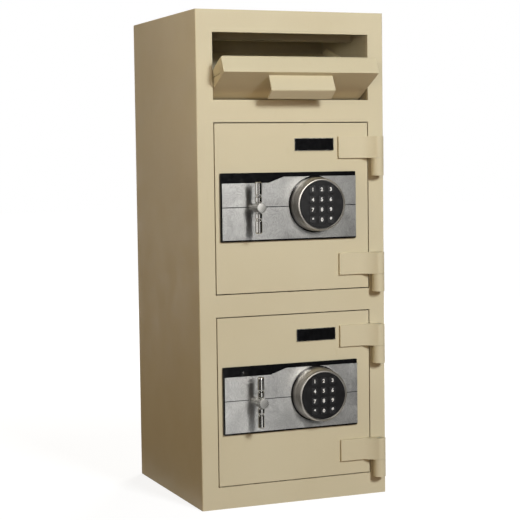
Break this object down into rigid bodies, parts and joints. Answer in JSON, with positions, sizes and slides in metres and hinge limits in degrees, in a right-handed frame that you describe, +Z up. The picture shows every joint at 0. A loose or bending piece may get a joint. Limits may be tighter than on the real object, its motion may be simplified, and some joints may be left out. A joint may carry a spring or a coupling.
{
  "type": "deposit safe",
  "caption": "Upright steel deposit safe: a tilting hopper over hinged doors, each with a round keypad lock, a turning handle and sliding bolts.",
  "frame": {"origin": "middle of the cabinet's underside, on the floor", "axes": "+Z up, the doors and hopper face -Y, the hinges are on the +X side"},
  "size_m": [0.37, 0.416, 0.9],
  "materials": {
    "body_paint": "cream satin powder coat",
    "brushed_face": "brushed silver with a fine grain",
    "chrome": "bright chrome plate",
    "black_plastic": "black, half gloss",
    "badge_black": "bare black badge",
    "key_plastic": "black keys with white digits",
    "zinc_steel": "zinc plated steel",
    "bolt_brass": "machined brass"
  },
  "bodies": {
    "cabinet": {"cabinet_shell": "body_paint", "front_frame": "body_paint", "compartment_shelf": "body_paint", "hinge_posts": "body_paint", "hinge_pins": "zinc_steel", "deposit_chute": "body_paint", "hopper_pivots": "zinc_steel"},
    "hopper": {"hopper_panel": "body_paint", "hopper_tray": "body_paint", "hopper_pull": "body_paint"},
    "upper_door": {"upper_door_plate": "body_paint", "upper_hinge_straps": "body_paint", "upper_bolt_cover": "body_paint", "upper_lock_backing": "black_plastic", "upper_lock_face": "brushed_face", "upper_badge": "badge_black", "upper_keypad_housing": "chrome", "upper_keypad_disc": "black_plastic", "upper_lock_case": "zinc_steel"},
    "upper_handle": {"upper_handle_bar": "chrome", "upper_handle_spindle": "chrome"},
    "upper_bolts": {"upper_bolt_bar": "zinc_steel"},
    "upper_lock_bolt_body": {"upper_lock_bolt": "bolt_brass"},
    "upper_key_1_body": {"upper_key_1": "key_plastic"},
    "upper_key_2_body": {"upper_key_2": "key_plastic"},
    "upper_key_3_body": {"upper_key_3": "key_plastic"},
    "upper_key_4_body": {"upper_key_4": "key_plastic"},
    "upper_key_5_body": {"upper_key_5": "key_plastic"},
    "upper_key_6_body": {"upper_key_6": "key_plastic"},
    "upper_key_7_body": {"upper_key_7": "key_plastic"},
    "upper_key_8_body": {"upper_key_8": "key_plastic"},
    "upper_key_9_body": {"upper_key_9": "key_plastic"},
    "upper_key_star_body": {"upper_key_star": "key_plastic"},
    "upper_key_0_body": {"upper_key_0": "key_plastic"},
    "upper_key_hash_body": {"upper_key_hash": "key_plastic"},
    "lower_door": {"lower_door_plate": "body_paint", "lower_hinge_straps": "body_paint", "lower_bolt_cover": "body_paint", "lower_lock_backing": "black_plastic", "lower_lock_face": "brushed_face", "lower_badge": "badge_black", "lower_keypad_housing": "chrome", "lower_keypad_disc": "black_plastic", "lower_lock_case": "zinc_steel"},
    "lower_handle": {"lower_handle_bar": "chrome", "lower_handle_spindle": "chrome"},
    "lower_bolts": {"lower_bolt_bar": "zinc_steel"},
    "lower_lock_bolt_body": {"lower_lock_bolt": "bolt_brass"},
    "lower_key_1_body": {"lower_key_1": "key_plastic"},
    "lower_key_2_body": {"lower_key_2": "key_plastic"},
    "lower_key_3_body": {"lower_key_3": "key_plastic"},
    "lower_key_4_body": {"lower_key_4": "key_plastic"},
    "lower_key_5_body": {"lower_key_5": "key_plastic"},
    "lower_key_6_body": {"lower_key_6": "key_plastic"},
    "lower_key_7_body": {"lower_key_7": "key_plastic"},
    "lower_key_8_body": {"lower_key_8": "key_plastic"},
    "lower_key_9_body": {"lower_key_9": "key_plastic"},
    "lower_key_star_body": {"lower_key_star": "key_plastic"},
    "lower_key_0_body": {"lower_key_0": "key_plastic"},
    "lower_key_hash_body": {"lower_key_hash": "key_plastic"}
  },
  "joints": [
    {"name": "hopper_tilt", "type": "hinge", "parent": "cabinet", "child": "hopper", "pos_m": [0, -0.147, 0.78], "axis": [-1, 0, 0], "range_deg": [0, 62.5]},
    {"name": "upper_door_swing", "type": "hinge", "parent": "cabinet", "child": "upper_door", "pos_m": [0.166, -0.192, 0.545], "axis": [0, 0, 1], "range_deg": [0, 165]},
    {"name": "upper_handle_turn", "type": "hinge", "parent": "upper_door", "child": "upper_handle", "pos_m": [-0.085, -0.221, 0.547], "axis": [0, 1, 0], "range_deg": [0, 90]},
    {"name": "upper_bolt_throw", "type": "slide", "parent": "upper_door", "child": "upper_bolts", "axis": [-1, 0, 0], "range_m": [0, 0.01838]},
    {"name": "upper_lock_bolt_slide", "type": "slide", "parent": "upper_door", "child": "upper_lock_bolt_body", "axis": [-1, 0, 0], "range_m": [0, 0.01]},
    {"name": "upper_key_1_press", "type": "slide", "parent": "upper_door", "child": "upper_key_1_body", "axis": [0, 1, 0], "range_m": [0, 0.0012], "stiffness_N_per_m": 800, "springref_m": -0.0004},
    {"name": "upper_key_2_press", "type": "slide", "parent": "upper_door", "child": "upper_key_2_body", "axis": [0, 1, 0], "range_m": [0, 0.0012], "stiffness_N_per_m": 800, "springref_m": -0.0004},
    {"name": "upper_key_3_press", "type": "slide", "parent": "upper_door", "child": "upper_key_3_body", "axis": [0, 1, 0], "range_m": [0, 0.0012], "stiffness_N_per_m": 800, "springref_m": -0.0004},
    {"name": "upper_key_4_press", "type": "slide", "parent": "upper_door", "child": "upper_key_4_body", "axis": [0, 1, 0], "range_m": [0, 0.0012], "stiffness_N_per_m": 800, "springref_m": -0.0004},
    {"name": "upper_key_5_press", "type": "slide", "parent": "upper_door", "child": "upper_key_5_body", "axis": [0, 1, 0], "range_m": [0, 0.0012], "stiffness_N_per_m": 800, "springref_m": -0.0004},
    {"name": "upper_key_6_press", "type": "slide", "parent": "upper_door", "child": "upper_key_6_body", "axis": [0, 1, 0], "range_m": [0, 0.0012], "stiffness_N_per_m": 800, "springref_m": -0.0004},
    {"name": "upper_key_7_press", "type": "slide", "parent": "upper_door", "child": "upper_key_7_body", "axis": [0, 1, 0], "range_m": [0, 0.0012], "stiffness_N_per_m": 800, "springref_m": -0.0004},
    {"name": "upper_key_8_press", "type": "slide", "parent": "upper_door", "child": "upper_key_8_body", "axis": [0, 1, 0], "range_m": [0, 0.0012], "stiffness_N_per_m": 800, "springref_m": -0.0004},
    {"name": "upper_key_9_press", "type": "slide", "parent": "upper_door", "child": "upper_key_9_body", "axis": [0, 1, 0], "range_m": [0, 0.0012], "stiffness_N_per_m": 800, "springref_m": -0.0004},
    {"name": "upper_key_star_press", "type": "slide", "parent": "upper_door", "child": "upper_key_star_body", "axis": [0, 1, 0], "range_m": [0, 0.0012], "stiffness_N_per_m": 800, "springref_m": -0.0004},
    {"name": "upper_key_0_press", "type": "slide", "parent": "upper_door", "child": "upper_key_0_body", "axis": [0, 1, 0], "range_m": [0, 0.0012], "stiffness_N_per_m": 800, "springref_m": -0.0004},
    {"name": "upper_key_hash_press", "type": "slide", "parent": "upper_door", "child": "upper_key_hash_body", "axis": [0, 1, 0], "range_m": [0, 0.0012], "stiffness_N_per_m": 800, "springref_m": -0.0004},
    {"name": "lower_door_swing", "type": "hinge", "parent": "cabinet", "child": "lower_door", "pos_m": [0.166, -0.192, 0.195], "axis": [0, 0, 1], "range_deg": [0, 165]},
    {"name": "lower_handle_turn", "type": "hinge", "parent": "lower_door", "child": "lower_handle", "pos_m": [-0.085, -0.221, 0.197], "axis": [0, 1, 0], "range_deg": [0, 90]},
    {"name": "lower_bolt_throw", "type": "slide", "parent": "lower_door", "child": "lower_bolts", "axis": [-1, 0, 0], "range_m": [0, 0.01838]},
    {"name": "lower_lock_bolt_slide", "type": "slide", "parent": "lower_door", "child": "lower_lock_bolt_body", "axis": [-1, 0, 0], "range_m": [0, 0.01]},
    {"name": "lower_key_1_press", "type": "slide", "parent": "lower_door", "child": "lower_key_1_body", "axis": [0, 1, 0], "range_m": [0, 0.0012], "stiffness_N_per_m": 800, "springref_m": -0.0004},
    {"name": "lower_key_2_press", "type": "slide", "parent": "lower_door", "child": "lower_key_2_body", "axis": [0, 1, 0], "range_m": [0, 0.0012], "stiffness_N_per_m": 800, "springref_m": -0.0004},
    {"name": "lower_key_3_press", "type": "slide", "parent": "lower_door", "child": "lower_key_3_body", "axis": [0, 1, 0], "range_m": [0, 0.0012], "stiffness_N_per_m": 800, "springref_m": -0.0004},
    {"name": "lower_key_4_press", "type": "slide", "parent": "lower_door", "child": "lower_key_4_body", "axis": [0, 1, 0], "range_m": [0, 0.0012], "stiffness_N_per_m": 800, "springref_m": -0.0004},
    {"name": "lower_key_5_press", "type": "slide", "parent": "lower_door", "child": "lower_key_5_body", "axis": [0, 1, 0], "range_m": [0, 0.0012], "stiffness_N_per_m": 800, "springref_m": -0.0004},
    {"name": "lower_key_6_press", "type": "slide", "parent": "lower_door", "child": "lower_key_6_body", "axis": [0, 1, 0], "range_m": [0, 0.0012], "stiffness_N_per_m": 800, "springref_m": -0.0004},
    {"name": "lower_key_7_press", "type": "slide", "parent": "lower_door", "child": "lower_key_7_body", "axis": [0, 1, 0], "range_m": [0, 0.0012], "stiffness_N_per_m": 800, "springref_m": -0.0004},
    {"name": "lower_key_8_press", "type": "slide", "parent": "lower_door", "child": "lower_key_8_body", "axis": [0, 1, 0], "range_m": [0, 0.0012], "stiffness_N_per_m": 800, "springref_m": -0.0004},
    {"name": "lower_key_9_press", "type": "slide", "parent": "lower_door", "child": "lower_key_9_body", "axis": [0, 1, 0], "range_m": [0, 0.0012], "stiffness_N_per_m": 800, "springref_m": -0.0004},
    {"name": "lower_key_star_press", "type": "slide", "parent": "lower_door", "child": "lower_key_star_body", "axis": [0, 1, 0], "range_m": [0, 0.0012], "stiffness_N_per_m": 800, "springref_m": -0.0004},
    {"name": "lower_key_0_press", "type": "slide", "parent": "lower_door", "child": "lower_key_0_body", "axis": [0, 1, 0], "range_m": [0, 0.0012], "stiffness_N_per_m": 800, "springref_m": -0.0004},
    {"name": "lower_key_hash_press", "type": "slide", "parent": "lower_door", "child": "lower_key_hash_body", "axis": [0, 1, 0], "range_m": [0, 0.0012], "stiffness_N_per_m": 800, "springref_m": -0.0004}
  ],
  "couplings": [
    {"joint": "upper_handle_turn", "follows": "upper_bolt_throw", "rad_per_m": 85.45},
    {"joint": "upper_lock_bolt_slide", "follows": "upper_bolt_throw", "ratio": 0.544},
    {"joint": "lower_handle_turn", "follows": "lower_bolt_throw", "rad_per_m": 85.45},
    {"joint": "lower_lock_bolt_slide", "follows": "lower_bolt_throw", "ratio": 0.544}
  ]
}
